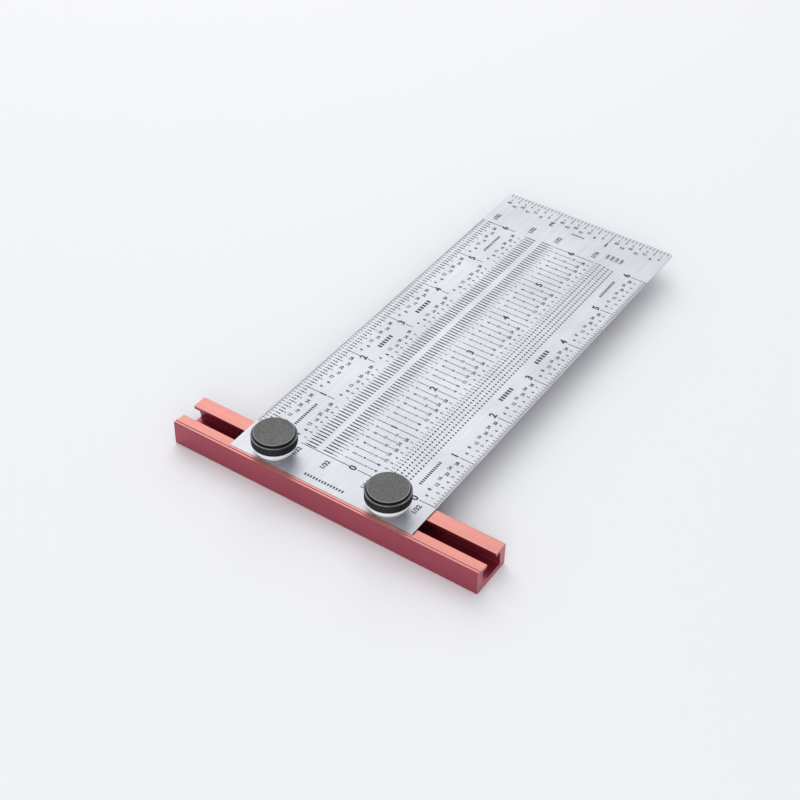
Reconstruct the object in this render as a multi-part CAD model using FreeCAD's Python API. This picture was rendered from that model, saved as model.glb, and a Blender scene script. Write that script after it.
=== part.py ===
import FreeCAD, Part
import math
import os
from FreeCAD import Vector

# A marking T-rule: a thin perforated steel blade clamped across a short T-slot bar.
# Millimetres. The origin is the centre of the bar's rear registration face, which is
# the zero line of every scale. +X runs along the bar, +Y along the blade and away from
# the bar, +Z up through the blade.

INCH = 25.4
SAME_PLACE = 0.01           # points nearer than this are one point

# --- Bar: an anodised T-slot extrusion, open at both ends ---
bar_length = 127.0
bar_depth = 17.2            # rear face to front face
bar_height = 9.4            # underside to the flange tops
rear_wall = 3.2
front_wall = 2.8
web_thickness = 2.1         # floor of the slot
flange_thickness = 1.3
mouth_clearance = 0.5       # each side of a bolt's thread
wall_step = 0.35            # the slot is wider by this on each side, down by its floor
wall_step_height = 1.9
lip_width = 2.2             # raised rib that squares the blade
lip_height = 0.6
root_groove_width = 0.4     # relief at the foot of the lip
root_groove_depth = 0.25
crest_groove_width = 0.45   # fine line along the top of the lip
crest_groove_depth = 0.25
bar_edge_radius = 0.35

# --- Blade: a stainless sheet ---
blade_length = 190.5
blade_width = 76.2
blade_thickness = 0.5
blade_corner_radius = 1.0   # the two far corners
blade_gap = 0.05            # film of clearance under the blade
blade_front_clearance = 0.1  # to the lip
blade_shift = -1.9          # where the blade's centre line is clamped along the bar

# --- Scales cut through the blade, placed from its centre line ---
scale_end_margin = 20.0     # least plain metal left beyond the last whole inch
hole_pitch = INCH / 16.0
slot_width = 0.55
pencil_hole_diameter = 0.55
odd_slots_left = -16.4      # slots on the odd thirty-seconds
odd_slots_length = 4.2
even_slots_left = -9.7      # slots on the sixteenths
even_slots_length = 4.0
grid_column_first = 17.1    # four columns of round holes, each a sixty-fourth on
grid_column_spacing = 2.08
grid_columns = 4
edge_slots_inset = 2.7      # short slots beside the left edge
edge_slots_length = 1.0

# --- Clamps: a T-bolt, a white foot, and a knurled knob with a threaded insert ---
clamp_spacing = 47.6
clamp_shift = 0.7           # of the pair, from the blade's centre line
thread_diameter = 4.7
thread_pitch = INCH / 32.0
thread_depth = 0.45
bolt_hole_clearance = 0.25  # radial, through the blade and the foot
insert_clearance = 0.05     # radial, thread crest to insert bore
bolt_head_length = 10.0     # along the slot
bolt_head_thickness = 2.4
bolt_head_side_clearance = 0.2
bolt_head_gap = 0.05        # under the flanges
foot_height = 4.8
foot_pad_width = 2.4        # of the ring that presses the blade, outside the bore
foot_setback = 0.3          # of the foot's rim, inside the knob's side
foot_rim = 0.5
foot_gap = 0.05             # to the blade below and to the knob above
knob_height = 4.5
knob_radius = 8.2
knob_edge_chamfer = 0.2     # foot and shoulder of the knurled side
knob_cap_setback = 0.9      # of the cap, inside the knob's side
knob_cap_rise = 1.0         # of the cap, above the shoulder
knob_groove_depth = 0.25    # under the cap
knob_groove_width = 0.4
knob_top_chamfer = 0.2
knurl_count = 60
knurl_depth = 0.28
insert_wall = 1.2
insert_length = 3.0
insert_fit = 0.02           # radial, insert in the knob
tip_relief = 0.3            # free depth above the insert
bolt_tip_setback = 0.25     # bolt's end, below the top of the insert

# --- Places worked out from the sizes above ---
bar_top = bar_height / 2.0
bar_bottom = -bar_height / 2.0
flange_underside = bar_top - flange_thickness
slot_floor = bar_bottom + web_thickness
slot_step = slot_floor + wall_step_height
slot_rear = -rear_wall
slot_front = -(bar_depth - front_wall)
slot_centre_y = (slot_rear + slot_front) / 2.0
mouth_rear = slot_centre_y + thread_diameter / 2.0 + mouth_clearance
mouth_front = slot_centre_y - thread_diameter / 2.0 - mouth_clearance
lip_rear = -(bar_depth - lip_width)
lip_top = bar_top + lip_height
blade_underside = bar_top + blade_gap
blade_top = blade_underside + blade_thickness
blade_front = lip_rear + blade_front_clearance
scale_inches = math.floor((blade_front + blade_length - scale_end_margin) / INCH)
bolt_head_top = flange_underside - bolt_head_gap
bolt_head_width = slot_rear - slot_front - 2.0 * bolt_head_side_clearance
thread_radius = thread_diameter / 2.0
bolt_hole_radius = thread_radius + bolt_hole_clearance
foot_base_radius = bolt_hole_radius + foot_pad_width
foot_top_radius = knob_radius - foot_setback
foot_bottom = blade_top + foot_gap
insert_bore_radius = thread_radius + insert_clearance
insert_radius = insert_bore_radius + insert_wall
knob_bottom = foot_bottom + foot_height + foot_gap
knob_shoulder = knob_bottom + knob_height - knob_cap_rise
knob_cap_radius = knob_radius - knob_cap_setback
bolt_tip = knob_bottom + insert_length - bolt_tip_setback
clamp_x = {
    "left": blade_shift + clamp_shift - clamp_spacing / 2.0,
    "right": blade_shift + clamp_shift + clamp_spacing / 2.0,
}


def along_bar_point(y, z):
    """A point of the bar's cross-section, at the bar's left end."""
    return Vector(-bar_length / 2.0, y, z)


def revolve(profile, x, y):
    """A ring or disc about the vertical line at x, y, from (radius, height) points."""
    points = [Vector(x + radius, y, z) for radius, z in profile]
    face = Part.Face(Part.makePolygon(points + points[:1]))
    return face.revolve(Vector(x, y, 0.0), Vector(0, 0, 1), 360.0)


def rectangle_wire(x_low, x_high, y_low, y_high, z):
    corners = [
        Vector(x_low, y_low, z),
        Vector(x_high, y_low, z),
        Vector(x_high, y_high, z),
        Vector(x_low, y_high, z),
    ]
    return Part.makePolygon(corners + corners[:1])


def circle_wire(x, y, z, radius):
    return Part.Wire(Part.makeCircle(radius, Vector(x, y, z)))


def make_t_bar():
    """The extrusion: two flanges over a stepped slot, and a grooved lip along the front."""
    lip_middle = lip_rear - lip_width / 2.0
    half_crest = crest_groove_width / 2.0
    section = [
        (0.0, bar_bottom),
        (0.0, bar_top),
        (mouth_rear, bar_top),
        (mouth_rear, flange_underside),
        (slot_rear, flange_underside),
        (slot_rear, slot_step),
        (slot_rear + wall_step, slot_step),
        (slot_rear + wall_step, slot_floor),
        (slot_front - wall_step, slot_floor),
        (slot_front - wall_step, slot_step),
        (slot_front, slot_step),
        (slot_front, flange_underside),
        (mouth_front, flange_underside),
        (mouth_front, bar_top),
        (lip_rear + root_groove_width, bar_top),
        (lip_rear + root_groove_width / 2.0, bar_top - root_groove_depth),
        (lip_rear, bar_top),
        (lip_rear, lip_top),
        (lip_middle + half_crest, lip_top),
        (lip_middle, lip_top - crest_groove_depth),
        (lip_middle - half_crest, lip_top),
        (-bar_depth, lip_top),
        (-bar_depth, bar_bottom),
    ]
    points = [along_bar_point(y, z) for y, z in section]
    face = Part.Face(Part.makePolygon(points + points[:1]))
    bar = face.extrude(Vector(bar_length, 0, 0))
    outer_corners = [(0.0, bar_bottom), (0.0, bar_top), (-bar_depth, lip_top), (-bar_depth, bar_bottom)]
    long_edges = []
    for edge in bar.Edges:
        middle = edge.CenterOfMass
        for y, z in outer_corners:
            on_corner = math.hypot(middle.y - y, middle.z - z) < SAME_PLACE
            if on_corner and edge.Length > bar_length / 2.0:
                long_edges.append(edge)
    return bar.makeFillet(bar_edge_radius, long_edges)


def blade_outline():
    """The blade's edge: square at the bar, with two eased corners at the far end."""
    x_low = blade_shift - blade_width / 2.0
    x_high = blade_shift + blade_width / 2.0
    y_low = blade_front
    y_high = blade_front + blade_length
    r = blade_corner_radius
    z = blade_underside
    diagonal = r * (1.0 - math.sqrt(0.5))
    start_right = Vector(x_high, y_high - r, z)
    middle_right = Vector(x_high - diagonal, y_high - diagonal, z)
    end_right = Vector(x_high - r, y_high, z)
    start_left = Vector(x_low + r, y_high, z)
    middle_left = Vector(x_low + diagonal, y_high - diagonal, z)
    end_left = Vector(x_low, y_high - r, z)
    edges = [
        Part.makeLine(Vector(x_low, y_low, z), Vector(x_high, y_low, z)),
        Part.makeLine(Vector(x_high, y_low, z), start_right),
        Part.Arc(start_right, middle_right, end_right).toShape(),
        Part.makeLine(end_right, start_left),
        Part.Arc(start_left, middle_left, end_left).toShape(),
        Part.makeLine(end_left, Vector(x_low, y_low, z)),
    ]
    return Part.Wire(edges)


def slot_column(left, length, first_y, count):
    """A column of slots across the blade, one pitch apart."""
    x_low = blade_shift + left
    wires = []
    for step in range(count):
        y = first_y + step * hole_pitch
        wires.append(rectangle_wire(
            x_low, x_low + length, y - slot_width / 2.0, y + slot_width / 2.0, blade_underside))
    return wires


def make_rule_blade():
    """The sheet with its slots, pencil holes and two clamp holes, cut straight through."""
    steps = int(round(scale_inches * INCH / hole_pitch))
    edge_slots_left = edge_slots_inset - blade_width / 2.0
    holes = []
    holes += slot_column(odd_slots_left, odd_slots_length, hole_pitch / 2.0, steps)
    holes += slot_column(even_slots_left, even_slots_length, hole_pitch, steps)
    holes += slot_column(edge_slots_left, edge_slots_length, hole_pitch, steps)
    for column in range(grid_columns):
        x = blade_shift + grid_column_first + column * grid_column_spacing
        for step in range(1, steps + 1):
            y = step * hole_pitch - column * hole_pitch / grid_columns
            holes.append(circle_wire(x, y, blade_underside, pencil_hole_diameter / 2.0))
    for x in clamp_x.values():
        holes.append(circle_wire(x, slot_centre_y, blade_underside, bolt_hole_radius))
    for wire in holes:
        wire.reverse()
    face = Part.makeFace([blade_outline()] + holes, "Part::FaceMakerBullseye")
    return face.extrude(Vector(0, 0, blade_thickness))


def make_t_bolt(x):
    """A square-headed bolt: the head rides under the flanges, the thread stands up."""
    head_corner = Vector(
        x - bolt_head_length / 2.0,
        slot_centre_y - bolt_head_width / 2.0,
        bolt_head_top - bolt_head_thickness)
    head = Part.makeBox(
        bolt_head_length, bolt_head_width, bolt_head_thickness, head_corner)
    plain_top = blade_top - thread_pitch
    root_radius = thread_radius - thread_depth
    profile = [(0.0, bolt_head_top - bolt_head_thickness / 2.0)]
    profile.append((thread_radius, bolt_head_top - bolt_head_thickness / 2.0))
    profile.append((thread_radius, plain_top))
    threads = int((bolt_tip - plain_top) / thread_pitch)
    for turn in range(threads):
        z = plain_top + turn * thread_pitch
        profile.append((root_radius, z + thread_pitch / 2.0))
        profile.append((thread_radius, z + thread_pitch))
    profile.append((root_radius, bolt_tip))
    profile.append((0.0, bolt_tip))
    return head.fuse(revolve(profile, x, slot_centre_y)).removeSplitter()


def make_knob_foot(x):
    """The tapered white foot: narrow on the blade, as wide as the knob at the top."""
    top = foot_bottom + foot_height
    profile = [
        (bolt_hole_radius, foot_bottom),
        (foot_base_radius, foot_bottom),
        (foot_top_radius, top - foot_rim),
        (foot_top_radius, top),
        (bolt_hole_radius, top),
    ]
    return revolve(profile, x, slot_centre_y)


def make_knob_head(x):
    """The black knob: knurled side, a shoulder, a groove and a flat cap."""
    pocket_radius = insert_radius + insert_fit
    pocket_top = knob_bottom + insert_length + tip_relief
    edge_radius = knob_radius - knob_edge_chamfer
    groove_radius = knob_cap_radius - knob_groove_depth
    top = knob_bottom + knob_height
    profile = [
        (pocket_radius, knob_bottom),
        (edge_radius, knob_bottom),
        (knob_radius, knob_bottom + knob_edge_chamfer),
        (knob_radius, knob_shoulder - knob_edge_chamfer),
        (edge_radius, knob_shoulder),
        (groove_radius, knob_shoulder),
        (groove_radius, knob_shoulder + knob_groove_width),
        (knob_cap_radius, knob_shoulder + knob_groove_width),
        (knob_cap_radius, top - knob_top_chamfer),
        (knob_cap_radius - knob_top_chamfer, top),
        (0.0, top),
        (0.0, pocket_top),
        (pocket_radius, pocket_top),
    ]
    knob = revolve(profile, x, slot_centre_y)
    return knob.cut(knurl_cutter(x))


def knurl_cutter(x):
    """A toothed ring that leaves straight knurls round the knob's side."""
    crest_radius = knob_radius + SAME_PLACE
    root_radius = knob_radius - knurl_depth
    points = []
    for half_tooth in range(2 * knurl_count):
        radius = crest_radius if half_tooth % 2 else root_radius
        angle = math.pi * half_tooth / knurl_count
        points.append(Vector(
            x + radius * math.cos(angle), slot_centre_y + radius * math.sin(angle), knob_bottom))
    teeth = Part.Face(Part.makePolygon(points + points[:1]))
    height = knob_shoulder - knob_bottom
    ring = Part.makeCylinder(
        crest_radius + knurl_depth, height, Vector(x, slot_centre_y, knob_bottom))
    return ring.cut(teeth.extrude(Vector(0, 0, height)))


def make_knob_insert(x):
    """The brass insert that carries the knob's thread."""
    profile = [
        (insert_bore_radius, knob_bottom),
        (insert_radius, knob_bottom),
        (insert_radius, knob_bottom + insert_length),
        (insert_bore_radius, knob_bottom + insert_length),
    ]
    return revolve(profile, x, slot_centre_y)


os.makedirs("parts", exist_ok=True)
shapes = {
    "t_bar": make_t_bar(),
    "rule_blade": make_rule_blade(),
}
for side, place in clamp_x.items():
    shapes["t_bolt_" + side] = make_t_bolt(place)
    shapes["knob_foot_" + side] = make_knob_foot(place)
    shapes["knob_head_" + side] = make_knob_head(place)
    shapes["knob_insert_" + side] = make_knob_insert(place)

for node, shape in shapes.items():
    assert shape.isValid(), node
    shape.exportStep("parts/" + node + ".step")
    print(node, len(shape.Solids), round(shape.Volume, 2), shape.BoundBox)
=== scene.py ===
import math

import bmesh
import bpy
from mathutils import Matrix, Quaternion, Vector


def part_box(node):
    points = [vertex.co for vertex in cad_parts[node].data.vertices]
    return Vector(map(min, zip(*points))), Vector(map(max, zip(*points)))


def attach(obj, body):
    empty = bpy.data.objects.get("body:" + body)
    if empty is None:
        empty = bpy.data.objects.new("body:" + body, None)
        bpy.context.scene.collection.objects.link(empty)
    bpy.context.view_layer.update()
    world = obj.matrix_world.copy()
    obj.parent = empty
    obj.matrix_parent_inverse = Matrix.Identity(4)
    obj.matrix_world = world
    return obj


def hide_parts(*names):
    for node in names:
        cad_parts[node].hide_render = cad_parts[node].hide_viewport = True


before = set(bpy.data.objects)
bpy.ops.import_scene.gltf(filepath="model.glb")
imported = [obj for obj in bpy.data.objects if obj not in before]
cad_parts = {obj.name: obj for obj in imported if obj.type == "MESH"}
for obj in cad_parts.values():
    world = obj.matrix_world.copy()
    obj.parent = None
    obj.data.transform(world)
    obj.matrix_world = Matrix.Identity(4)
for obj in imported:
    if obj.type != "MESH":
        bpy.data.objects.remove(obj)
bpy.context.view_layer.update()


# Camera. A long lens looks down the blade from beyond the bar's right end, about forty
# degrees above the table, with a touch of roll.
camera_place = Vector((0.23405, -0.32755, 0.38919))
camera_target = Vector((-0.00450, 0.03860, 0.00525))
camera_roll = math.radians(1.33)
camera_lens = bpy.data.cameras.new("camera")
camera_lens.lens = 72.58
camera_lens.sensor_width = 36.0
camera = bpy.data.objects.new("camera", camera_lens)
bpy.context.scene.collection.objects.link(camera)
bpy.context.scene.camera = camera
camera.location = camera_place
camera.rotation_mode = "QUATERNION"
level_aim = (camera_target - camera_place).to_track_quat("-Z", "Y")
camera.rotation_quaternion = level_aim @ Quaternion((0.0, 0.0, 1.0), camera_roll)


# The bar. One red anodised aluminium extrusion with a T-slot along its top and a raised,
# grooved lip in front, sawn off square at both ends. The dye lies in a hard clear oxide over
# fine die lines that run the bar's whole length. The outer top faces get a lighter, more orange
# copy of the red, which is painted light from above; the channel floor keeps the plain red.
def start_material(name):
    """A new node material: (material, its nodes, its links, its shader)."""
    material = bpy.data.materials.new(name)
    material.use_nodes = True
    tree = material.node_tree
    return material, tree.nodes, tree.links, tree.nodes["Principled BSDF"]


def start_group(name, inputs, outputs):
    """A new shader group with number and vector sockets: (group, its input node, its output node)."""
    group = bpy.data.node_groups.new(name, "ShaderNodeTree")
    for socket_name, socket_type, value in inputs:
        socket = group.interface.new_socket(socket_name, in_out="INPUT", socket_type=socket_type)
        socket.default_value = value
    for socket_name in outputs:
        group.interface.new_socket(socket_name, in_out="OUTPUT", socket_type="NodeSocketFloat")
    return group, group.nodes.new("NodeGroupInput"), group.nodes.new("NodeGroupOutput")


def make_drawn_grain():
    """Long streaks that follow the direction a metal was drawn, rolled or brushed in, with fine specks."""
    group, given, result = start_group(
        "drawn_grain",
        [("Stretch", "NodeSocketVector", (1.0, 1.0, 1.0)), ("Speck Scale", "NodeSocketFloat", 4000.0)],
        ["Streaks", "Specks"])
    place = group.nodes.new("ShaderNodeTexCoord")
    stretch = group.nodes.new("ShaderNodeMapping")
    streaks = group.nodes.new("ShaderNodeTexNoise")
    streaks.inputs["Scale"].default_value = 1.0
    streaks.inputs["Detail"].default_value = 5.0
    streaks.inputs["Roughness"].default_value = 0.65
    specks = group.nodes.new("ShaderNodeTexNoise")
    specks.inputs["Detail"].default_value = 2.0
    group.links.new(place.outputs["Object"], stretch.inputs["Vector"])
    group.links.new(given.outputs["Stretch"], stretch.inputs["Scale"])
    group.links.new(stretch.outputs["Vector"], streaks.inputs["Vector"])
    group.links.new(place.outputs["Object"], specks.inputs["Vector"])
    group.links.new(given.outputs["Speck Scale"], specks.inputs["Scale"])
    group.links.new(streaks.outputs["Fac"], result.inputs["Streaks"])
    group.links.new(specks.outputs["Fac"], result.inputs["Specks"])
    return group


def make_handling_marks():
    """Soft smudges and a few hair scratches, as a used tool collects."""
    group, given, result = start_group(
        "handling_marks",
        [("Smudge Scale", "NodeSocketFloat", 60.0), ("Scratch Scale", "NodeSocketFloat", 90.0)],
        ["Smudges", "Scratches"])
    place = group.nodes.new("ShaderNodeTexCoord")
    smudges = group.nodes.new("ShaderNodeTexNoise")
    smudges.inputs["Detail"].default_value = 3.0
    smudges.inputs["Distortion"].default_value = 0.6
    bend = group.nodes.new("ShaderNodeTexNoise")
    bend.inputs["Scale"].default_value = 35.0
    scratches = group.nodes.new("ShaderNodeTexVoronoi")
    scratches.feature = "DISTANCE_TO_EDGE"
    mix = group.nodes.new("ShaderNodeMix")
    mix.data_type = "VECTOR"
    mix.inputs["Factor"].default_value = 0.04
    thin = group.nodes.new("ShaderNodeMapRange")
    thin.inputs["From Min"].default_value = 0.0
    thin.inputs["From Max"].default_value = 0.006
    thin.inputs["To Min"].default_value = 1.0
    thin.inputs["To Max"].default_value = 0.0
    group.links.new(place.outputs["Object"], smudges.inputs["Vector"])
    group.links.new(given.outputs["Smudge Scale"], smudges.inputs["Scale"])
    group.links.new(place.outputs["Object"], mix.inputs[4])
    group.links.new(bend.outputs["Color"], mix.inputs[5])
    group.links.new(place.outputs["Object"], bend.inputs["Vector"])
    group.links.new(mix.outputs[1], scratches.inputs["Vector"])
    group.links.new(given.outputs["Scratch Scale"], scratches.inputs["Scale"])
    group.links.new(scratches.outputs["Distance"], thin.inputs["Value"])
    group.links.new(smudges.outputs["Fac"], result.inputs["Smudges"])
    group.links.new(thin.outputs["Result"], result.inputs["Scratches"])
    return group


drawn_grain = make_drawn_grain()
handling_marks = make_handling_marks()


def add_group(nodes, group, **values):
    """Places a shader group in a material, with its own values."""
    node = nodes.new("ShaderNodeGroup")
    node.node_tree = group
    for name, value in values.items():
        node.inputs[name.replace("_", " ").title()].default_value = value
    return node


def add_range(nodes, links, source, low, high):
    """A number that runs from low to high as source runs from 0.3 to 0.7."""
    node = nodes.new("ShaderNodeMapRange")
    node.inputs["From Min"].default_value = 0.3
    node.inputs["From Max"].default_value = 0.7
    node.inputs["To Min"].default_value = low
    node.inputs["To Max"].default_value = high
    links.new(source, node.inputs["Value"])
    return node.outputs["Result"]


def add_bump(nodes, links, shader, source, distance, below=None):
    """A bump of the given height, laid over the bump below it, if any."""
    node = nodes.new("ShaderNodeBump")
    node.inputs["Distance"].default_value = distance
    node.inputs["Strength"].default_value = 1.0
    links.new(source, node.inputs["Height"])
    if below is not None:
        links.new(below.outputs["Normal"], node.inputs["Normal"])
    links.new(node.outputs["Normal"], shader.inputs["Normal"])
    return node


def add_colours(nodes, links, source, dark, light):
    """A colour that runs from dark to light as source runs from 0.3 to 0.7."""
    ramp = nodes.new("ShaderNodeValToRGB")
    ramp.color_ramp.elements[0].position = 0.3
    ramp.color_ramp.elements[0].color = (*dark, 1.0)
    ramp.color_ramp.elements[1].position = 0.7
    ramp.color_ramp.elements[1].color = (*light, 1.0)
    links.new(source, ramp.inputs["Fac"])
    return ramp.outputs["Color"]


def add_wear(nodes, links, shader, colour, bare_and_highlight, smudges):
    """Lets a paler, patchy colour through on the marked faces: wear, with a painted edge highlight."""
    wear_and_painted_highlight = nodes.new("ShaderNodeAttribute")
    wear_and_painted_highlight.attribute_name = "wear_and_painted_highlight"
    patches = nodes.new("ShaderNodeMath")
    patches.operation = "MULTIPLY"
    links.new(wear_and_painted_highlight.outputs["Fac"], patches.inputs[0])
    links.new(add_range(nodes, links, smudges, 0.1, 1.0), patches.inputs[1])
    mix = nodes.new("ShaderNodeMix")
    mix.data_type = "RGBA"
    mix.inputs[7].default_value = (*bare_and_highlight, 1.0)
    links.new(patches.outputs["Value"], mix.inputs["Factor"])
    links.new(colour, mix.inputs[6])
    links.new(mix.outputs[2], shader.inputs["Base Color"])


def make_red_anodising():
    material, nodes, links, shader = start_material("red_anodising_and_painted_light")
    die_lines = add_group(nodes, drawn_grain, stretch=(6.0, 900.0, 900.0), speck_scale=5200.0)
    marks = add_group(nodes, handling_marks, smudge_scale=55.0, scratch_scale=70.0)
    sides = add_colours(
        nodes, links, die_lines.outputs["Streaks"], (0.34, 0.032, 0.067), (0.40, 0.044, 0.079))
    # The lighter, more orange copy of the red for the outer top faces is painted light from above.
    painted_lit_tops = add_colours(
        nodes, links, die_lines.outputs["Streaks"], (0.48, 0.158, 0.130), (0.53, 0.194, 0.154))
    painted_top_light = nodes.new("ShaderNodeAttribute")
    painted_top_light.attribute_name = "painted_top_light"
    colour = nodes.new("ShaderNodeMix")
    colour.data_type = "RGBA"
    links.new(painted_top_light.outputs["Fac"], colour.inputs["Factor"])
    links.new(sides, colour.inputs[6])
    links.new(painted_lit_tops, colour.inputs[7])
    # The paler colour on the rounded edges is wear together with a painted edge highlight.
    add_wear(nodes, links, shader, colour.outputs[2], (0.62, 0.30, 0.29), marks.outputs["Smudges"])
    shader.inputs["Metallic"].default_value = 0.75
    shader.inputs["Coat Weight"].default_value = 0.6
    shader.inputs["Coat IOR"].default_value = 1.5
    shader.inputs["Coat Roughness"].default_value = 0.28
    links.new(add_range(nodes, links, marks.outputs["Smudges"], 0.30, 0.38), shader.inputs["Roughness"])
    streaks = add_bump(nodes, links, shader, die_lines.outputs["Streaks"], 0.000007)
    add_bump(nodes, links, shader, die_lines.outputs["Specks"], 0.000001, below=streaks)
    return material


def merged_copy(node):
    """A bmesh of a CAD node with its loose triangles joined into whole faces."""
    shape = bmesh.new()
    shape.from_mesh(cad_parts[node].data)
    bmesh.ops.remove_doubles(shape, verts=shape.verts, dist=0.000001)
    bmesh.ops.dissolve_limit(
        shape, angle_limit=math.radians(1.0), verts=shape.verts, edges=shape.edges)
    return shape


def bevel_corners(shape, width, steps, sharper_than):
    """Rounds every edge that turns by more than the given angle, and gives back the new faces."""
    corners = [e for e in shape.edges if e.is_manifold and e.calc_face_angle() > sharper_than]
    return bmesh.ops.bevel(
        shape, geom=corners, offset=width, offset_type="OFFSET", segments=steps, profile=0.5,
        affect="EDGES", material=-1, clamp_overlap=True)["faces"]


def mark_faces(shape, name, faces):
    """Marks faces in a mask: the rubbed edges, which also carry a painted highlight, or the top faces,
    which carry painted light.
    """
    mark = shape.faces.layers.float[name]
    for face in faces:
        face[mark] = 1.0


def finish_piece(name, shape, material, body, smooth_below=math.radians(35.0)):
    """Makes a bmesh a shown piece of the object that rides on a body."""
    mesh = bpy.data.meshes.new(name)
    bmesh.ops.recalc_face_normals(shape, faces=shape.faces)
    shape.to_mesh(mesh)
    shape.free()
    mesh.shade_smooth()
    mesh.set_sharp_from_angle(angle=smooth_below)
    mesh.materials.append(material)
    piece = bpy.data.objects.new(name, mesh)
    bpy.context.scene.collection.objects.link(piece)
    level = piece.modifiers.new("level_faces", "WEIGHTED_NORMAL")
    level.keep_sharp = True
    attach(piece, body)
    return piece


bar_edge = 0.00012
bar_corner = math.radians(40.0)
steepest_top = 0.8
bar_shape = merged_copy("t_bar")
bar_shape.faces.layers.float.new("wear_and_painted_highlight")
bar_shape.faces.layers.float.new("painted_top_light")
# Every rounded edge, the inner slot edges too, is marked for paler wear and a painted edge highlight.
bar_edges = bevel_corners(bar_shape, bar_edge, 2, bar_corner)
bar_shape.normal_update()
mark_faces(bar_shape, "wear_and_painted_highlight", bar_edges)
# Outer top faces above the channel get the painted top light; the channel floor stays plain red.
mark_faces(bar_shape, "painted_top_light", [
    face for face in bar_shape.faces
    if face.normal.z > steepest_top and face.calc_center_median().z > 0.0])
bar = finish_piece("bar_extrusion", bar_shape, make_red_anodising(), "bar")
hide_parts("t_bar")


# The blade. One thin sheet of satin stainless steel. The slots and pencil holes are cut
# through the sheet, so they are in the CAD node, which keeps its shape and takes the finish.
def make_satin_steel():
    material, nodes, links, shader = start_material("satin_steel")
    brushing = add_group(nodes, drawn_grain, stretch=(1500.0, 40.0, 1500.0), speck_scale=6500.0)
    marks = add_group(nodes, handling_marks, smudge_scale=38.0, scratch_scale=60.0)
    colour = add_colours(
        nodes, links, brushing.outputs["Streaks"], (0.465, 0.47, 0.50), (0.53, 0.535, 0.565))
    links.new(colour, shader.inputs["Base Color"])
    shader.inputs["Metallic"].default_value = 1.0
    links.new(add_range(nodes, links, marks.outputs["Smudges"], 0.44, 0.52), shader.inputs["Roughness"])
    grain = add_bump(nodes, links, shader, brushing.outputs["Streaks"], 0.000003)
    add_bump(nodes, links, shader, brushing.outputs["Specks"], 0.0000015, below=grain)
    return material


def give_finish(node, material):
    """Puts a finish on a CAD node that keeps its own shape."""
    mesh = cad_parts[node].data
    mesh.materials.clear()
    mesh.materials.append(material)


give_finish("rule_blade", make_satin_steel())


# The scales. Thin dark ink, etched and filled, beside every column of slots and holes. Lines
# and figures are raised a hair above the steel. Distances are in inches from the blade's centre
# line and from the zero line at the bar's rear face. Words are left out; only figures show.
INCH = 0.0254
blade_low, blade_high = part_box("rule_blade")
blade_centre = (blade_low.x + blade_high.x) / 2.0
ink_height = 0.000014
ink_sink = 0.000004
scale_inches = 6
label_beyond = 6.19
label_before = -0.17
fine_line = 0.011
plain_line = 0.012
bold_line = 0.022
small_figure = 0.036
plain_figure = 0.046
bold_figure = 0.054
inch_figure = 0.112
unit_figure = 0.074


def make_ink():
    material, nodes, links, shader = start_material("filled_ink")
    marks = add_group(nodes, handling_marks, smudge_scale=900.0, scratch_scale=200.0)
    colour = add_colours(
        nodes, links, marks.outputs["Smudges"], (0.022, 0.023, 0.030), (0.055, 0.057, 0.068))
    links.new(colour, shader.inputs["Base Color"])
    links.new(add_range(nodes, links, marks.outputs["Smudges"], 0.5, 0.7), shader.inputs["Roughness"])
    add_bump(nodes, links, shader, marks.outputs["Smudges"], 0.000002)
    return material


ink = make_ink()


def on_blade(x, y):
    """The place on the blade's top, in metres, of a point in inches."""
    return Vector((blade_centre + x * INCH, y * INCH, blade_high.z))


def ink_block(sheet, x, y, width, height, slant=0.0):
    """A solid patch of ink, centred on x, y. Its right end lies further along by the slant."""
    depth = ink_height + ink_sink
    centre = on_blade(x, y) + Vector((0.0, 0.0, ink_height - depth / 2.0))
    size = Matrix.Diagonal((width * INCH, height * INCH, depth, 1.0))
    lean = Matrix.Identity(4)
    lean[1][0] = slant / width
    bmesh.ops.create_cube(sheet, size=1.0, matrix=Matrix.Translation(centre) @ lean @ size)


def ink_line(sheet, x_from, x_to, y, thickness=fine_line):
    """A line across the blade."""
    ink_block(sheet, (x_from + x_to) / 2.0, y, abs(x_to - x_from), thickness)


size_per_height = 1.37
weight_per_height = 0.055


def figure_mesh(text, height):
    """The mesh of a number, centred on the origin, of the given height in inches."""
    lettering = bpy.data.curves.new("figure", "FONT")
    lettering.body = text
    lettering.size = height * INCH * size_per_height
    lettering.align_x = "CENTER"
    lettering.align_y = "CENTER"
    lettering.extrude = (ink_height + ink_sink) / 2.0
    lettering.offset = height * INCH * weight_per_height
    lettering.resolution_u = 5 if height == inch_figure else 2
    holder = bpy.data.objects.new("figure", lettering)
    mesh = bpy.data.meshes.new_from_object(holder)
    bpy.data.objects.remove(holder)
    bpy.data.curves.remove(lettering)
    return mesh


figure_meshes = {}


def ink_figure(sheet, text, x, y, height=plain_figure, turn=90.0):
    """A number on the blade. It reads along the blade unless it is turned another way."""
    key = (text, height)
    if key not in figure_meshes:
        figure_meshes[key] = figure_mesh(text, height)
    first_new = len(sheet.verts)
    sheet.from_mesh(figure_meshes[key])
    sheet.verts.ensure_lookup_table()
    centre = on_blade(x, y) + Vector((0.0, 0.0, (ink_height - ink_sink) / 2.0))
    place = Matrix.Translation(centre) @ Matrix.Rotation(math.radians(turn), 4, "Z")
    bmesh.ops.transform(sheet, matrix=place, verts=sheet.verts[first_new:])


def eighths():
    """Every eighth of an inch between the inches: (eighth, distance from zero)."""
    for inch in range(scale_inches):
        for eighth in range(1, 8):
            yield eighth, inch + eighth / 8.0


def ink_columns(sheet, columns, height, step):
    """Numbers at each eighth, in one column or staggered in two, counting in the given step."""
    for eighth, y in eighths():
        ink_figure(sheet, str(eighth * step), columns[eighth % len(columns)], y, height)


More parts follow.
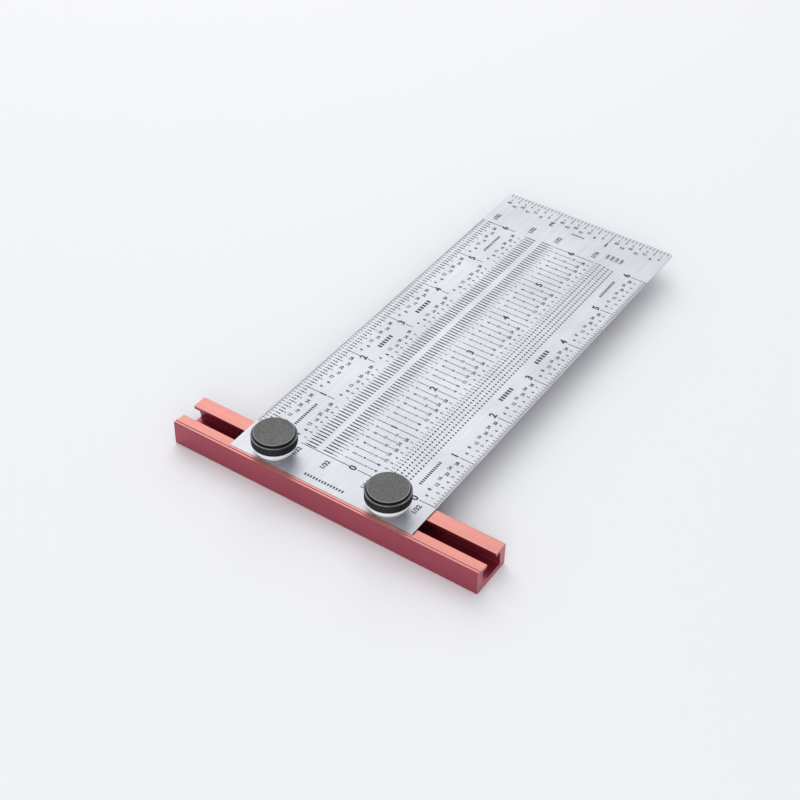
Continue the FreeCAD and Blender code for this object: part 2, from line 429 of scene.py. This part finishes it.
def ink_ticks(sheet, x_from, x_to, per_inch, thickness=fine_line):
    """A short line at every step of a scale, from its first step to its last inch."""
    for count in range(1, per_inch * scale_inches + 1):
        ink_line(sheet, x_from, x_to, count / per_inch, thickness)


bar_share_along = 0.62
bar_share_across = 0.55


def ink_ornament(sheet, x, y_from, y_to, bars, width):
    """A row of short bars along the blade, in place of a caption."""
    pitch = (y_to - y_from) / bars
    for bar_number in range(bars):
        ink_block(sheet, x, y_from + (bar_number + 0.5) * pitch, width, pitch * bar_share_along)


def ink_ornament_across(sheet, x_from, x_to, y, bars, height):
    """The same row of short bars, laid across the blade."""
    pitch = (x_to - x_from) / bars
    for bar_number in range(bars):
        ink_block(sheet, x_from + (bar_number + 0.5) * pitch, y, pitch * bar_share_across, height)


def ink_captions(sheet, x):
    """Ornaments in the plain band between two scales: two fine rows and two bold ones."""
    fine_row = 0.044
    bold_row = 0.070
    ink_ornament(sheet, x, y_from=0.25, y_to=0.78, bars=13, width=fine_row)
    ink_ornament(sheet, x, y_from=2.32, y_to=2.66, bars=6, width=bold_row)
    ink_ornament(sheet, x, y_from=3.32, y_to=3.69, bars=6, width=bold_row)
    ink_ornament(sheet, x, y_from=5.27, y_to=5.75, bars=12, width=fine_row)


def finish_ink(name, sheet):
    """Makes a sheet of ink a shown piece that rides on the blade."""
    finish_piece(name, sheet, ink, "blade", smooth_below=math.radians(20.0))


# Left edge: thirty-seconds along the edge, bold marks beside the small slots, columns of
# figures, and the inch numbers.
blade_edge = 1.496
left_short_tick = -1.462
long_tick = 1.420
edge_slot_tick = -1.350
edge_slot_tick_end = -1.314
edge_slot_figures = [-1.283]
left_figures = [-1.155, -1.192]
left_inch_line = -1.310
left_inch_line_end = -1.130
left_inner_line = -0.990
left_inner_line_end = -0.870
left_inches = -1.062
left_captions = -1.017
left_label = -1.330
left_scale = bmesh.new()
ink_ticks(left_scale, -blade_edge, left_short_tick, 32)
ink_ticks(left_scale, -blade_edge, -long_tick, 16)
ink_ticks(left_scale, edge_slot_tick, edge_slot_tick_end, 16, bold_line)
ink_columns(left_scale, edge_slot_figures, small_figure, 1)
ink_columns(left_scale, left_figures, bold_figure, 4)
for inch in range(1, scale_inches + 1):
    ink_line(left_scale, left_inch_line, left_inch_line_end, inch, plain_line)
    ink_line(left_scale, left_inner_line, left_inner_line_end, inch, plain_line)
    ink_figure(left_scale, str(inch), left_inches, inch, inch_figure)
ink_captions(left_scale, left_captions)
ink_figure(left_scale, "1/32", left_label, label_beyond, unit_figure)
finish_ink("scale_left_edge", left_scale)

# Slot columns: figures left of the odd slots and right of the even slots, with a tick for
# each slot, and the zero line.
odd_slot_figures = [-0.817, -0.850]
odd_slot_eighths = [-0.735]
odd_slot_long_tick = -0.690
odd_slot_short_tick = -0.672
odd_slot_tick_end = -0.650
even_slot_tick = -0.220
even_slot_tick_end = -0.150
even_slot_eighths = [-0.117]
zero_line = -0.720
zero_line_end = 0.095
slot_labels = [-0.670, -0.190]
near_caption = -0.46
near_caption_half = 0.33
slot_scale = bmesh.new()
ink_columns(slot_scale, odd_slot_figures, bold_figure, 4)
ink_columns(slot_scale, odd_slot_eighths, plain_figure, 1)
for count in range(16 * scale_inches):
    tick = odd_slot_long_tick if count % 2 else odd_slot_short_tick
    ink_line(slot_scale, tick, odd_slot_tick_end, (count + 0.5) / 16.0)
ink_ticks(slot_scale, even_slot_tick, even_slot_tick_end, 16)
ink_columns(slot_scale, even_slot_eighths, small_figure, 1)
ink_line(slot_scale, zero_line, zero_line_end, 0.0, plain_line)
ink_ornament_across(
    slot_scale, -near_caption_half, near_caption_half, near_caption, bars=14, height=0.046)
for x in slot_labels:
    ink_figure(slot_scale, "1/32", x, label_beyond, unit_figure)
    ink_figure(slot_scale, "1/32", x, label_before, unit_figure)
finish_ink("scale_slots", slot_scale)

# Ladder: a rung at every eighth, broken by three columns of figures and the inch numbers, in
# the plain band between the slots and the pencil holes.
odd_rung = (-0.035, 0.275, 0.445)
even_rung = (0.005, 0.175, 0.410)
outer_figure_room = 0.036
middle_figure_room = 0.034
ladder_inches = 0.157
ladder_left_line = -0.130
ladder_left_line_end = 0.085
ladder_right_line = 0.230
ladder_right_line_end = 0.560
ladder_label = 0.485
ladder = bmesh.new()
for eighth, y in eighths():
    left, middle, right = odd_rung if eighth % 2 else even_rung
    ink_line(ladder, left + outer_figure_room, middle - middle_figure_room, y)
    ink_line(ladder, middle + middle_figure_room, right - outer_figure_room, y)
    ink_figure(ladder, str(eighth), left, y, bold_figure)
    ink_figure(ladder, str(eighth * 2), middle, y, plain_figure)
    ink_figure(ladder, str(eighth * 4), right, y, bold_figure)
for inch in range(1, scale_inches + 1):
    ink_line(ladder, ladder_left_line, ladder_left_line_end, inch, plain_line)
for inch in range(scale_inches + 1):
    ink_line(ladder, ladder_right_line, ladder_right_line_end, inch, plain_line)
    ink_figure(ladder, str(inch), ladder_inches, inch, inch_figure)
for y in (label_beyond, label_before):
    ink_figure(ladder, "1/16", ladder_label, y, unit_figure)
finish_ink("scale_ladder", ladder)

# Hole grid: a dark ring of ink round every pencil hole, which is painted shade for the dark of
# the hole, slanting ticks between the columns, a column of figures, and a fraction over each
# column of holes.
grid_column_first = 0.6732
grid_column_spacing = 0.0819
grid_columns = 4
hole_pitch = 1.0 / 16.0
hole_shade_ring_inner = 0.0112
hole_shade_ring_outer = 0.0162
hole_shade_ring_sides = 10
slant_tick_width = grid_column_spacing - 3.2 * hole_shade_ring_outer
slant_tick_line = 0.0045
slant_tick_drop = 0.010
grid_figures = [0.535]
grid_tick = 0.582
grid_tick_end = 0.640
grid_label = 6.26


def turned_shape(profile, centre, steps):
    """A bmesh of a closed outline, (radius, height) points in metres, spun about an upright line."""
    shape = bmesh.new()
    corners = [shape.verts.new(centre + Vector((radius, 0.0, height))) for radius, height in profile]
    edges = [shape.edges.new((a, b)) for a, b in zip(corners, corners[1:] + corners[:1])]
    bmesh.ops.spin(
        shape, geom=corners + edges, cent=centre, axis=(0.0, 0.0, 1.0), angle=math.tau, steps=steps,
        use_merge=True)
    bmesh.ops.remove_doubles(shape, verts=shape.verts, dist=0.000002)
    bmesh.ops.recalc_face_normals(shape, faces=shape.faces)
    return shape


# Each ring is painted shade round a pencil hole.
hole_shade_shape = turned_shape([
    (hole_shade_ring_inner * INCH, -ink_sink),
    (hole_shade_ring_outer * INCH, -ink_sink),
    (hole_shade_ring_outer * INCH, ink_height),
    (hole_shade_ring_inner * INCH, ink_height),
], Vector((0.0, 0.0, 0.0)), hole_shade_ring_sides)
hole_shade_mesh = bpy.data.meshes.new("painted_hole_shade")
hole_shade_shape.to_mesh(hole_shade_mesh)
hole_shade_shape.free()

grid_print_and_hole_shade = bmesh.new()
for column in range(grid_columns):
    x = grid_column_first + column * grid_column_spacing
    for step in range(1, 16 * scale_inches + 1):
        y = (step - column / grid_columns) * hole_pitch
        first_new = len(grid_print_and_hole_shade.verts)
        grid_print_and_hole_shade.from_mesh(hole_shade_mesh)
        grid_print_and_hole_shade.verts.ensure_lookup_table()
        bmesh.ops.translate(grid_print_and_hole_shade, vec=on_blade(x, y), verts=grid_print_and_hole_shade.verts[first_new:])
        if column < grid_columns - 1:
            ink_block(
                grid_print_and_hole_shade, x + grid_column_spacing / 2.0, y - hole_pitch / grid_columns / 2.0,
                slant_tick_width, slant_tick_line, slant=-slant_tick_drop)
    ink_figure(grid_print_and_hole_shade, "1/64", x, grid_label, bold_figure)
ink_columns(grid_print_and_hole_shade, grid_figures, plain_figure, 1)
ink_ticks(grid_print_and_hole_shade, grid_tick, grid_tick_end, 16)
finish_ink("scale_hole_grid_and_painted_hole_shade", grid_print_and_hole_shade)

# Right edge: inch numbers, staggered figures, a fine column and thirty-seconds on the edge. It
# counts from the same zero line as the left edge.
right_inch_line = 1.230
right_inches = 1.158
right_figures = [1.234, 1.270]
right_eighths = [1.362]
right_short_tick = 1.455
right_captions = 1.070
right_label = 1.300
right_scale = bmesh.new()
for inch in range(scale_inches + 1):
    ink_line(right_scale, right_inch_line, blade_edge, inch, plain_line)
    ink_figure(right_scale, str(inch), right_inches, inch, inch_figure)
ink_columns(right_scale, right_figures, bold_figure, 4)
ink_columns(right_scale, right_eighths, plain_figure, 1)
ink_ticks(right_scale, right_short_tick, blade_edge, 32)
ink_ticks(right_scale, long_tick, blade_edge, 16)
ink_captions(right_scale, right_captions)
ink_figure(right_scale, "1/32", right_label, label_before, unit_figure)
finish_ink("scale_right_edge", right_scale)

# Far edge: sixteenths across the end of the blade, counted from its right side, with two
# rows of figures and the inch numbers, which read from beyond the blade's end.
end_inches = 3
end_scale_start = 1.5
end_tick_start = blade_high.y / INCH - 0.006
end_long_tick = 0.11
end_short_tick = 0.08
end_eighths = 6.755
end_near_figures = 6.665
end_far_figures = 6.605
end_inch_line = 6.700
end_inch_line_length = 0.180
end_inch_figures = 6.535
end_caption = 6.48
end_scale = bmesh.new()
for count in range(1, 16 * end_inches):
    x = end_scale_start - count / 16.0
    length = end_short_tick if count % 4 else end_long_tick
    ink_block(end_scale, x, end_tick_start - length / 2.0, fine_line, length)
    if count % 2 == 0 and count % 16:
        ink_figure(end_scale, str(count % 16 // 2), x, end_eighths, plain_figure, turn=180.0)
        staggered_y = end_near_figures if count % 4 else end_far_figures
        ink_figure(end_scale, str(count % 16 * 2), x, staggered_y, bold_figure, turn=180.0)
for inch in range(1, end_inches):
    x = end_scale_start - inch
    ink_block(end_scale, x, end_inch_line, plain_line, end_inch_line_length)
    ink_figure(end_scale, str(inch), x, end_inch_figures, inch_figure, turn=180.0)
ink_ornament_across(end_scale, x_from=-0.11, x_to=0.13, y=end_caption, bars=6, height=0.040)
finish_ink("scale_far_edge", end_scale)


# The T-bolts. Square-headed steel bolts, zinc plated, whose heads ride under the bar's flanges
# and whose threads stand up through the blade into the knobs. They keep their CAD shape.
def make_zinc_plate():
    material, nodes, links, shader = start_material("zinc_plate")
    grain = add_group(nodes, drawn_grain, stretch=(700.0, 700.0, 300.0), speck_scale=3500.0)
    marks = add_group(nodes, handling_marks, smudge_scale=260.0, scratch_scale=300.0)
    colour = add_colours(
        nodes, links, marks.outputs["Smudges"], (0.50, 0.51, 0.52), (0.68, 0.69, 0.68))
    links.new(colour, shader.inputs["Base Color"])
    shader.inputs["Metallic"].default_value = 1.0
    links.new(add_range(nodes, links, grain.outputs["Specks"], 0.26, 0.42), shader.inputs["Roughness"])
    add_bump(nodes, links, shader, grain.outputs["Specks"], 0.000008)
    return material


zinc_plate = make_zinc_plate()
for side in ("left", "right"):
    give_finish("t_bolt_" + side, zinc_plate)


# The feet. White nylon cups under the knobs, moulded with a narrow pad that presses the blade, a
# flank that bows outwards and a short rim that meets the knob. The bolt passes through a plain bore.
def make_white_nylon():
    material, nodes, links, shader = start_material("white_nylon")
    grain = add_group(nodes, drawn_grain, stretch=(300.0, 300.0, 900.0), speck_scale=2600.0)
    marks = add_group(nodes, handling_marks, smudge_scale=200.0, scratch_scale=160.0)
    colour = add_colours(
        nodes, links, marks.outputs["Smudges"], (0.88, 0.88, 0.87), (0.95, 0.95, 0.94))
    links.new(colour, shader.inputs["Base Color"])
    links.new(add_range(nodes, links, marks.outputs["Smudges"], 0.38, 0.50), shader.inputs["Roughness"])
    add_bump(nodes, links, shader, grain.outputs["Specks"], 0.00001)
    return material


white_nylon = make_white_nylon()
foot_bore = 0.0026
foot_pad_radius = 0.0050
foot_pad_lip = 0.0003
foot_rim_height = 0.0005
foot_curve_steps = 6
foot_edge = 0.00015
foot_corner = math.radians(25.0)
round_steps = 96
for side in ("left", "right"):
    foot_low, foot_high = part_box("knob_foot_" + side)
    foot_radius = (foot_high.x - foot_low.x) / 2.0
    foot_height = foot_high.z - foot_low.z
    foot_centre = (foot_low + foot_high) / 2.0
    foot_centre.z = foot_low.z
    flank_height = foot_height - foot_rim_height - foot_pad_lip
    flank_reach = foot_radius - foot_pad_radius
    flank = []
    for step in range(foot_curve_steps + 1):
        share = step / foot_curve_steps
        bow = math.sin(share * math.pi / 2.0)
        flank.append((foot_pad_radius + flank_reach * bow, foot_pad_lip + flank_height * share))
    foot_shape = turned_shape(
        [(foot_bore, 0.0), (foot_pad_radius, 0.0)] + flank
        + [(foot_radius, foot_height), (foot_bore, foot_height)], foot_centre, round_steps)
    bevel_corners(foot_shape, foot_edge, 3, foot_corner)
    foot = finish_piece("white_foot_" + side, foot_shape, white_nylon, "foot_" + side)
    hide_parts("knob_foot_" + side)


# The knobs. Black moulded plastic with straight knurls round the side, a shoulder, a fine
# groove and a flat cap inside a thin rim. The cap has gone grey with handling. The side and
# ledge are darkened to near-black as painted shade, and the rim and shoulder edge are paler
# with wear and a painted highlight.
def make_black_moulding(cap_z):
    """Near-black on the side and the ledge, which is painted shade, and grey with handling above a line
    just below the cap's top.
    """
    material, nodes, links, shader = start_material("black_moulding_and_painted_shade")
    grain = add_group(nodes, drawn_grain, stretch=(1500.0, 1500.0, 1500.0), speck_scale=2400.0)
    marks = add_group(nodes, handling_marks, smudge_scale=150.0, scratch_scale=260.0)
    place = nodes.new("ShaderNodeTexCoord")
    parts = nodes.new("ShaderNodeSeparateXYZ")
    links.new(place.outputs["Object"], parts.inputs["Vector"])
    upper = nodes.new("ShaderNodeMapRange")
    upper.inputs["From Min"].default_value = cap_z - 0.0003
    upper.inputs["From Max"].default_value = cap_z - 0.0002
    links.new(parts.outputs["Z"], upper.inputs["Value"])
    handled = add_colours(
        nodes, links, grain.outputs["Streaks"], (0.055, 0.054, 0.053), (0.160, 0.157, 0.154))
    shade = nodes.new("ShaderNodeMix")
    shade.data_type = "RGBA"
    # The near-black below the cap line is painted shade on the side and ledge.
    shade.inputs[6].default_value = (0.007, 0.007, 0.008, 1.0)
    links.new(upper.outputs["Result"], shade.inputs["Factor"])
    links.new(handled, shade.inputs[7])
    # The paler grey on the rim and the shoulder edge is wear with a painted highlight.
    add_wear(nodes, links, shader, shade.outputs[2], (0.36, 0.36, 0.36), marks.outputs["Smudges"])
    shader.inputs["Specular IOR Level"].default_value = 0.4
    links.new(add_range(nodes, links, marks.outputs["Smudges"], 0.42, 0.60), shader.inputs["Roughness"])
    texture = add_bump(nodes, links, shader, grain.outputs["Streaks"], 0.00003)
    add_bump(nodes, links, shader, grain.outputs["Specks"], 0.00001, below=texture)
    return material


def faces_between(shape, centre, least_radius, low, high):
    """The faces of a turned shape that lie outside a radius and between two heights."""
    found = []
    for face in shape.faces:
        middle = face.calc_center_median() - centre
        if math.hypot(middle.x, middle.y) > least_radius and low < middle.z < high:
            found.append(face)
    return found


def cut_knurls(shape, centre, radius, teeth, land, depth):
    """Sinks every other facet of the knob's side, which leaves straight knurls between."""
    least_facet = 5e-7
    grooves = []
    for face in shape.faces:
        middle = face.calc_center_median() - centre
        upright = abs(face.normal.z) < 0.1
        outermost = math.hypot(middle.x, middle.y) > radius * 0.99
        if upright and outermost and face.calc_area() > least_facet:
            turn = math.atan2(middle.y, middle.x) / math.tau % 1.0
            if int(turn * teeth * 2) % 2:
                grooves.append(face)
    bmesh.ops.inset_individual(shape, faces=grooves, thickness=land, depth=-depth)


knob_teeth = 60
knob_knurl_land = 0.00009
knob_knurl_depth = 0.00024
knob_pocket_radius = 0.00362
knob_pocket_height = 0.0033
knob_foot_chamfer = 0.0002
knob_shoulder_height = 0.0035
knob_shoulder_chamfer = 0.0002
knob_shoulder_line = 0.0004
knob_groove_radius = 0.00705
knob_groove_height = 0.0004
knob_cap_radius = 0.0073
knob_rim_width = 0.00030
knob_rim_height = 0.0001
knob_edge = 0.00012
knob_corner = math.radians(30.0)
black_moulding_and_painted_shade = make_black_moulding(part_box("knob_head_left")[1].z)
for side in ("left", "right"):
    knob_low, knob_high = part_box("knob_head_" + side)
    knob_radius = (knob_high.x - knob_low.x) / 2.0
    knob_height = knob_high.z - knob_low.z
    knob_centre = (knob_low + knob_high) / 2.0
    knob_centre.z = knob_low.z
    knob_ledge_height = knob_shoulder_height + knob_groove_height
    knob_rim_inside = knob_cap_radius - knob_rim_width
    knob_shape = turned_shape([
        (knob_pocket_radius, 0.0),
        (knob_radius - knob_foot_chamfer, 0.0),
        (knob_radius, knob_foot_chamfer),
        (knob_radius, knob_shoulder_height - knob_shoulder_chamfer),
        (knob_radius - knob_shoulder_chamfer, knob_shoulder_height),
        (knob_radius - knob_shoulder_line, knob_shoulder_height),
        (knob_groove_radius, knob_shoulder_height),
        (knob_groove_radius, knob_ledge_height),
        (knob_cap_radius, knob_ledge_height),
        (knob_cap_radius, knob_height),
        (knob_rim_inside, knob_height),
        (knob_rim_inside, knob_height - knob_rim_height),
        (0.0, knob_height - knob_rim_height),
        (0.0, knob_pocket_height),
        (knob_pocket_radius, knob_pocket_height),
    ], knob_centre, knob_teeth * 2)
    knob_shape.faces.layers.float.new("wear_and_painted_highlight")
    bevel_corners(knob_shape, knob_edge, 2, knob_corner)
    knob_shape.normal_update()
    cut_knurls(
        knob_shape, knob_centre, knob_radius, knob_teeth, knob_knurl_land, knob_knurl_depth)
    # The rim and the shoulder edge get paler wear with a painted highlight.
    rim_faces = faces_between(
        knob_shape, knob_centre, knob_rim_inside, knob_height - knob_edge, knob_height + knob_edge)
    shoulder_faces = faces_between(
        knob_shape, knob_centre, knob_radius - knob_shoulder_line,
        knob_shoulder_height - knob_shoulder_chamfer, knob_shoulder_height + knob_edge)
    mark_faces(knob_shape, "wear_and_painted_highlight", rim_faces + shoulder_faces)
    knob = finish_piece("knurled_knob_" + side, knob_shape, black_moulding_and_painted_shade, "knob_" + side)
    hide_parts("knob_head_" + side)


# The inserts. Turned brass bushes moulded into the knobs, which carry the thread. Only their
# lower ends can be seen, up the bore of the foot, so they keep their CAD shape.
def make_turned_brass():
    material, nodes, links, shader = start_material("turned_brass")
    grain = add_group(nodes, drawn_grain, stretch=(500.0, 500.0, 4000.0), speck_scale=3000.0)
    colour = add_colours(
        nodes, links, grain.outputs["Specks"], (0.62, 0.44, 0.17), (0.80, 0.60, 0.27))
    links.new(colour, shader.inputs["Base Color"])
    shader.inputs["Metallic"].default_value = 1.0
    links.new(add_range(nodes, links, grain.outputs["Streaks"], 0.22, 0.36), shader.inputs["Roughness"])
    add_bump(nodes, links, shader, grain.outputs["Streaks"], 0.00001)
    return material


turned_brass = make_turned_brass()
for side in ("left", "right"):
    give_finish("knob_insert_" + side, turned_brass)


# Floor. A plain pale table top under the bar.
floor_half_width = 3.0
floor_shape = bmesh.new()
bmesh.ops.create_grid(
    floor_shape, x_segments=1, y_segments=1, size=floor_half_width,
    matrix=Matrix.Translation((0.0, 0.0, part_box("t_bar")[0].z)))
floor_mesh = bpy.data.meshes.new("floor")
floor_shape.to_mesh(floor_mesh)
floor_shape.free()
floor_material, _, _, floor_shader = start_material("pale_floor")
floor_shader.inputs["Base Color"].default_value = (0.93, 0.93, 0.94, 1.0)
floor_shader.inputs["Roughness"].default_value = 0.7
floor_mesh.materials.append(floor_material)
floor = bpy.data.objects.new("floor", floor_mesh)
bpy.context.scene.collection.objects.link(floor)


# Lights. A broad soft box behind and to the left, one overhead, a weak one in front, and a
# pale room.
def add_soft_box(name, place, target, width, height, power):
    """A rectangular lamp of the given size in metres, turned towards its target."""
    lamp = bpy.data.lights.new(name, "AREA")
    lamp.shape = "RECTANGLE"
    lamp.size = width
    lamp.size_y = height
    lamp.energy = power
    holder = bpy.data.objects.new(name, lamp)
    holder.location = place
    holder.rotation_mode = "QUATERNION"
    holder.rotation_quaternion = (Vector(target) - Vector(place)).to_track_quat("-Z", "Y")
    bpy.context.scene.collection.objects.link(holder)


add_soft_box(
    "key_light", (-0.75, 0.85, 1.05), (0.0, 0.08, 0.0), width=1.4, height=1.3, power=9.7)
add_soft_box(
    "front_light", (0.55, -1.00, 0.50), (0.0, 0.0, 0.0), width=0.8, height=0.8, power=4.5)
add_soft_box(
    "top_light", (0.1, -0.1, 1.6), (0.0, 0.05, 0.0), width=1.2, height=1.2, power=3.0)
room = bpy.data.worlds.new("room")
bpy.context.scene.world = room
room.use_nodes = True
background = room.node_tree.nodes["Background"]
background.inputs["Color"].default_value = (0.93, 0.95, 1.0, 1.0)
seen = room.node_tree.nodes.new("ShaderNodeLightPath")
strength = room.node_tree.nodes.new("ShaderNodeMapRange")
strength.inputs["To Min"].default_value = 0.55
strength.inputs["To Max"].default_value = 0.80
room.node_tree.links.new(seen.outputs["Is Camera Ray"], strength.inputs["Value"])
room.node_tree.links.new(strength.outputs["Result"], background.inputs["Strength"])
bpy.context.scene.view_settings.view_transform = "Standard"
